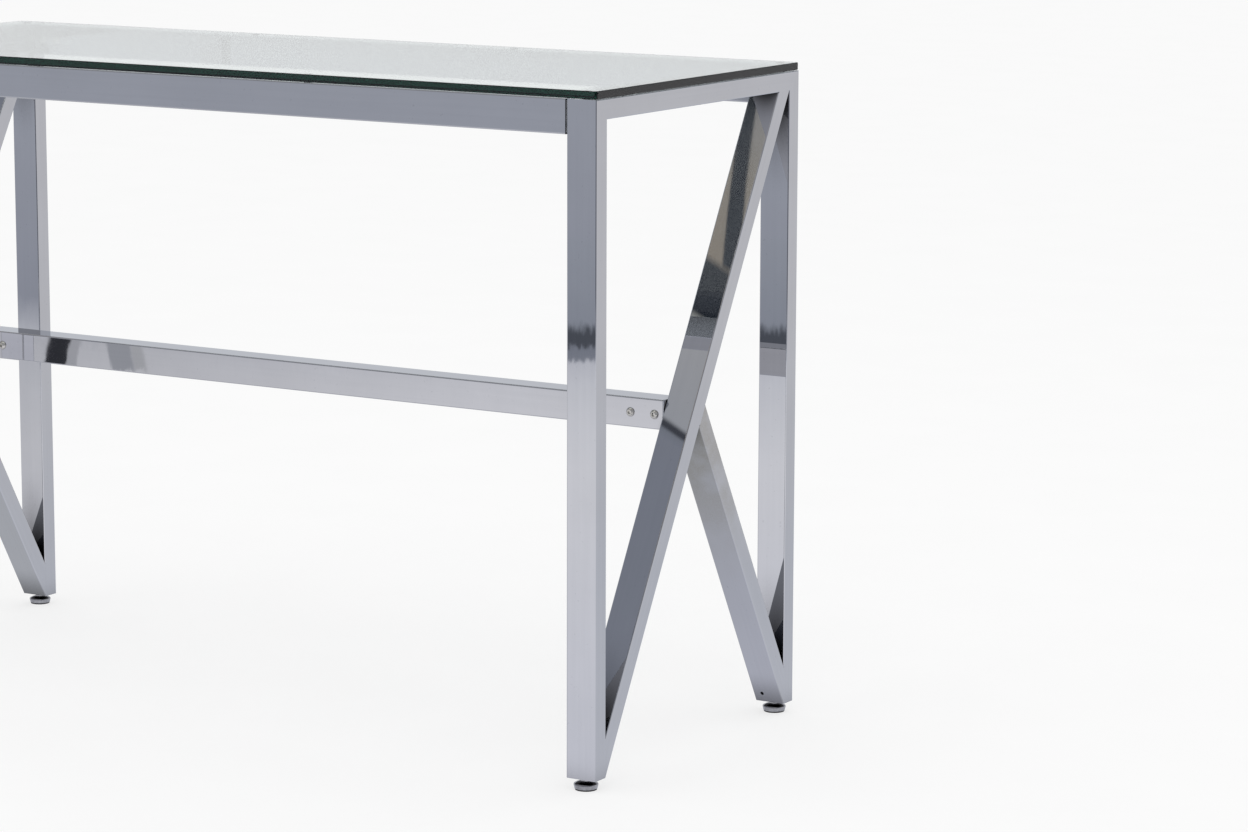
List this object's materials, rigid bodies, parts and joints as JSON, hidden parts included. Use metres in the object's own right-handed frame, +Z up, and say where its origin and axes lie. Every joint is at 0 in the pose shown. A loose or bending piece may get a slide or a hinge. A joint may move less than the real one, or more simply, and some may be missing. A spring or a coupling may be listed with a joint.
{
  "type": "console table",
  "caption": "Narrow console table: clear glass top on a chrome rectangular-tube frame with diagonal end braces, a low stretcher and levelling feet.",
  "frame": {"origin": "on the floor, under the middle of the table", "axes": "+X along the table's length to the right seen from the front, -Y to the front, +Z up"},
  "size_m": [1.17, 0.4554, 0.78],
  "materials": {
    "glass": "clear toughened glass, polished edges",
    "bumper": "clear soft polyurethane",
    "chrome_frame": "bright chrome plate",
    "chrome_stretcher": "bright chrome plate",
    "zinc_steel": "zinc plated",
    "screw": "nickel plated",
    "stem_steel": "zinc plated",
    "foot_chrome": "chrome plate",
    "foot_pad": "matt black nylon"
  },
  "bodies": {
    "table": {"glass_top": "glass", "glass_bumpers": "bumper", "left_front_post": "chrome_frame", "left_back_post": "chrome_frame", "left_end_rail": "chrome_frame", "left_long_brace": "chrome_frame", "left_short_brace": "chrome_frame", "left_stretcher_tongue": "zinc_steel", "left_front_apron_tongue": "zinc_steel", "left_back_apron_tongue": "zinc_steel", "left_stretcher_plate": "chrome_frame", "left_stretcher_screws": "screw", "right_front_post": "chrome_frame", "right_back_post": "chrome_frame", "right_end_rail": "chrome_frame", "right_long_brace": "chrome_frame", "right_short_brace": "chrome_frame", "right_stretcher_tongue": "zinc_steel", "right_front_apron_tongue": "zinc_steel", "right_back_apron_tongue": "zinc_steel", "right_stretcher_plate": "chrome_frame", "right_stretcher_screws": "screw", "front_apron": "chrome_frame", "front_apron_screws": "screw", "back_apron": "chrome_frame", "back_apron_screws": "screw", "stretcher": "chrome_stretcher", "left_front_foot_plate": "chrome_frame", "left_front_foot_nut": "zinc_steel", "left_back_foot_plate": "chrome_frame", "left_back_foot_nut": "zinc_steel", "right_front_foot_plate": "chrome_frame", "right_front_foot_nut": "zinc_steel", "right_back_foot_plate": "chrome_frame", "right_back_foot_nut": "zinc_steel"},
    "left_front_foot": {"left_front_foot_cap": "foot_chrome", "left_front_foot_pad": "foot_pad"},
    "left_front_stem": {"left_front_foot_stem": "stem_steel"},
    "left_back_foot": {"left_back_foot_cap": "foot_chrome", "left_back_foot_pad": "foot_pad"},
    "left_back_stem": {"left_back_foot_stem": "stem_steel"},
    "right_front_foot": {"right_front_foot_cap": "foot_chrome", "right_front_foot_pad": "foot_pad"},
    "right_front_stem": {"right_front_foot_stem": "stem_steel"},
    "right_back_foot": {"right_back_foot_cap": "foot_chrome", "right_back_foot_pad": "foot_pad"},
    "right_back_stem": {"right_back_foot_stem": "stem_steel"}
  },
  "joints": [
    {"name": "left_front_foot_travel", "type": "slide", "parent": "table", "child": "left_front_foot", "axis": [0, 0, -1], "range_m": [0, 0.0125]},
    {"name": "left_front_stem_turn", "type": "hinge", "parent": "left_front_foot", "child": "left_front_stem", "pos_m": [-0.566, -0.21375, 0], "axis": [0, 0, -1], "range_deg": [0, 3600]},
    {"name": "left_back_foot_travel", "type": "slide", "parent": "table", "child": "left_back_foot", "axis": [0, 0, -1], "range_m": [0, 0.0125]},
    {"name": "left_back_stem_turn", "type": "hinge", "parent": "left_back_foot", "child": "left_back_stem", "pos_m": [-0.566, 0.21375, 0], "axis": [0, 0, -1], "range_deg": [0, 3600]},
    {"name": "right_front_foot_travel", "type": "slide", "parent": "table", "child": "right_front_foot", "axis": [0, 0, -1], "range_m": [0, 0.0125]},
    {"name": "right_front_stem_turn", "type": "hinge", "parent": "right_front_foot", "child": "right_front_stem", "pos_m": [0.566, -0.21375, 0], "axis": [0, 0, -1], "range_deg": [0, 3600]},
    {"name": "right_back_foot_travel", "type": "slide", "parent": "table", "child": "right_back_foot", "axis": [0, 0, -1], "range_m": [0, 0.0125]},
    {"name": "right_back_stem_turn", "type": "hinge", "parent": "right_back_foot", "child": "right_back_stem", "pos_m": [0.566, 0.21375, 0], "axis": [0, 0, -1], "range_deg": [0, 3600]}
  ],
  "couplings": [
    {"joint": "left_front_stem_turn", "follows": "left_front_foot_travel", "rad_per_m": 5026.5},
    {"joint": "left_back_stem_turn", "follows": "left_back_foot_travel", "rad_per_m": 5026.5},
    {"joint": "right_front_stem_turn", "follows": "right_front_foot_travel", "rad_per_m": 5026.5},
    {"joint": "right_back_stem_turn", "follows": "right_back_foot_travel", "rad_per_m": 5026.5}
  ]
}
